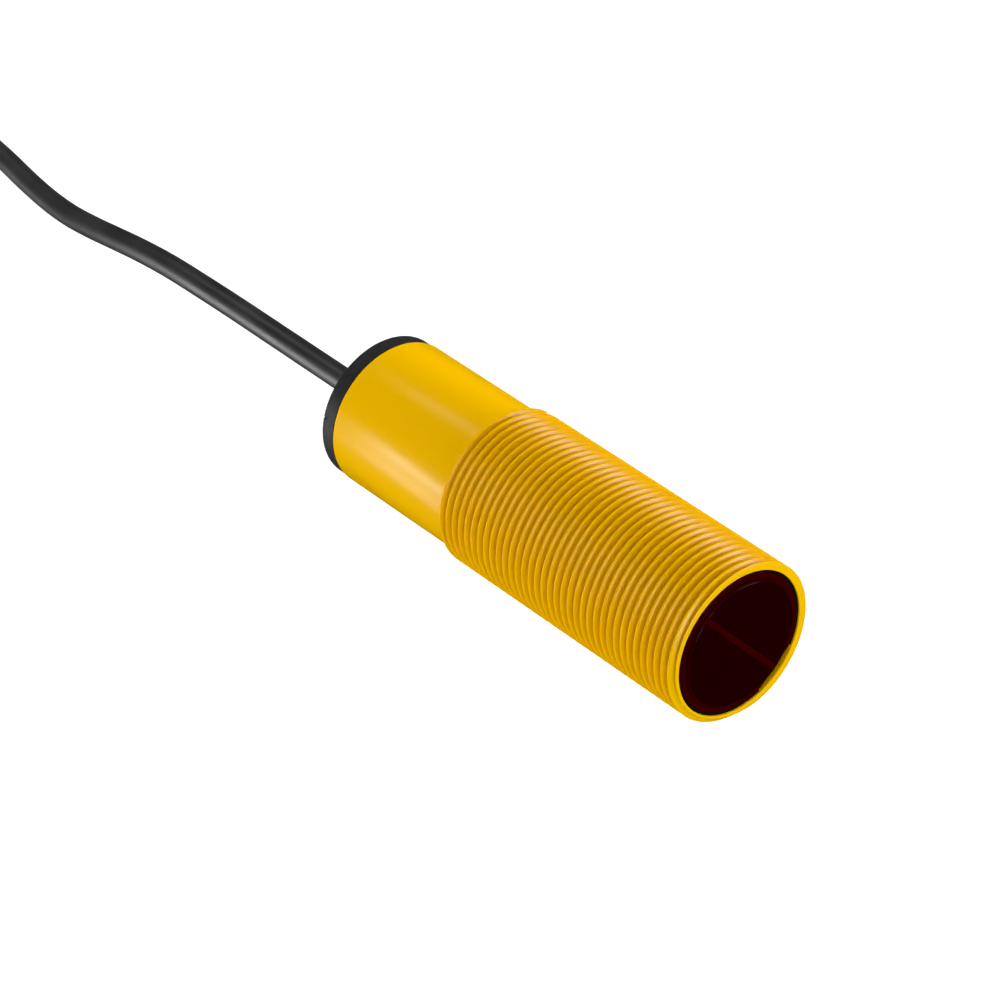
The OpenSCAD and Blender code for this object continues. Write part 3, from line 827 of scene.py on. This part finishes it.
def make_lead(colour, step):
    """One wire out of the jacket's end: it comes down onto the surface, fans out and ends in bare strands."""
    end_x, end_y, end_z = TAIL_ROUTE[-1]
    turn = math.radians(step * LEAD_FAN)
    fan = Vector((math.cos(turn), math.sin(turn), 0))
    start = Vector((end_x + 0.1, end_y + step * LEAD_GAP, WIRE_D / 2))
    root = Vector((end_x - 1.5, end_y + step * 0.55, end_z - 0.3 + 0.5 * (abs(step) < 1)))
    mouth = root + Vector((1.7, 0, -0.1))
    route = [root, mouth, start + fan * 3.4, start + fan * 5.5, start + fan * (LEAD_LEN - STRIPPED)]
    path = smooth_path(metres(route), 0.5 * MM)
    wire = piece("wire_end_" + colour, *swept(path, round_section(WIRE_D / 2 * MM, 14)), "wire_" + colour,
                 ["lead_" + colour])
    points, faces = [], []
    for k in range(STRANDS + 1):
        out = 0 if k == STRANDS else 0.205
        bare = []
        for i in range(19):
            a = TURN * (k / STRANDS + i / 18 * 1.1)
            offset = Vector((-math.sin(turn) * math.cos(a), math.cos(turn) * math.cos(a), math.sin(a))) * out
            bare.append(start + fan * (LEAD_LEN - STRIPPED - 0.3 + (STRIPPED + 0.3) * i / 18) + offset)
        more_points, more_faces = swept(metres(bare), round_section(STRAND_D / 2 * MM, 8), len(points))
        points += more_points
        faces += more_faces
    bare_end = piece("strands_" + colour, points, faces, "wire_" + colour, material=TINNED_COPPER)
    return [wire, bare_end]


cable_pieces = [bush, *make_tie()]
for step, colour in ((1.5, "brown"), (0.5, "white"), (-0.5, "blue"), (-1.5, "black")):
    cable_pieces += make_lead(colour, step)

# ---------------------------------------------------------------- floor and light


def make_floor():
    half = 3.0
    corners = [(-half, -half, 0), (half, -half, 0), (half, half, 0), (-half, half, 0)]
    mesh = bpy.data.meshes.new("floor")
    mesh.from_pydata(corners, [], [(0, 1, 2, 3)])
    mesh.materials.append(floor_paint())
    floor = bpy.data.objects.new("floor", mesh)
    bpy.context.collection.objects.link(floor)
    floor.visible_diffuse = False
    floor.visible_glossy = False
    floor.visible_shadow = False


LAMP_DISTANCE = 0.6                 # metres from the middle of the sensor
WHITE = (1.0, 1.0, 1.0)
COOL = (0.93, 1.0, 1.3)             # bluish light, for the whitish highlights
TENT_SIZE = 1.2                     # metres; six such panels make a cube round the sensor
TENT_BRIGHTNESS = 0.61


def soft_box(name, direction, length, width, mirrored, colour, brightness):
    """A rectangular lamp that shines on the sensor from a direction, its length along the optical axis.
    One that isn't mirrored adds no highlight of its own."""
    data = bpy.data.lights.new(name, "AREA")
    data.shape = "RECTANGLE"
    data.size = length
    data.size_y = width
    data.color = colour
    data.cycles.use_multiple_importance_sampling = mirrored
    data.energy = brightness * length * width * math.pi
    lamp = bpy.data.objects.new(name, data)
    away = Vector(direction).normalized()
    lamp.location = on_axis(SENSOR_LEN / 2, 0, 0) + away * LAMP_DISTANCE
    along = Vector((1, 0, 0)) if abs(away.x) < 0.99 else Vector((0, 1, 0))
    side = (along - away * away.dot(along)).normalized()
    up = away.cross(side)
    lamp.rotation_mode = "QUATERNION"
    lamp.rotation_quaternion = Matrix((side, up, away)).transposed().to_quaternion()
    lamp.visible_camera = False
    lamp.visible_glossy = mirrored
    bpy.context.collection.objects.link(lamp)


def make_world():
    """White to the camera alone: the lamps do all the lighting, so that plastic keeps its full colour."""
    world = bpy.data.worlds.new("studio")
    world.use_nodes = True
    tree = world.node_tree
    rays = tree.nodes.new("ShaderNodeLightPath")
    tree.links.new(rays.outputs["Is Camera Ray"], tree.nodes["Background"].inputs["Strength"])
    tree.nodes["Background"].inputs["Color"].default_value = (1, 1, 1, 1)
    bpy.context.scene.world = world


def make_lamps():
    """A tent of even light, five lamps that draw the highlights, and four that only fill the shade."""
    for axis in range(3):
        for end, side in (("low", -1), ("high", 1)):
            direction = [side if k == axis else 0 for k in range(3)]
            soft_box("tent_" + "xyz"[axis] + "_" + end, direction, TENT_SIZE, TENT_SIZE, False, WHITE,
                     TENT_BRIGHTNESS)
    soft_box("top_rear", (-0.63, -0.01, 0.776), 0.3, 0.1, True, WHITE, 1.6)
    soft_box("low_rear", (-0.63, -0.767, -0.12), 0.3, 0.1, True, WHITE, 5.5)
    soft_box("low_broad", (-0.631, -0.69, -0.35), 0.3, 0.25, True, WHITE, 3.0)
    soft_box("right_key", (0.736, 0.642, 0.216), 0.28, 0.14, True, COOL, 9.5)
    soft_box("front_low", (0.983, -0.171, 0.047), 0.25, 0.25, True, COOL, 7.0)
    soft_box("rear_right", (-0.6, 0.65, 0.45), 0.4, 0.4, False, WHITE, 5.5)
    soft_box("right_low", (-0.6, 0.8, -0.05), 0.4, 0.4, False, WHITE, 5.5)
    soft_box("rear_left", (-0.85, -0.5, 0.15), 0.4, 0.4, False, WHITE, 1.8)
    soft_box("under_left", (-0.5, -0.5, -0.7), 0.4, 0.4, False, WHITE, 1.5)


make_floor()
make_world()
make_lamps()
bpy.context.scene.view_settings.view_transform = "Standard"
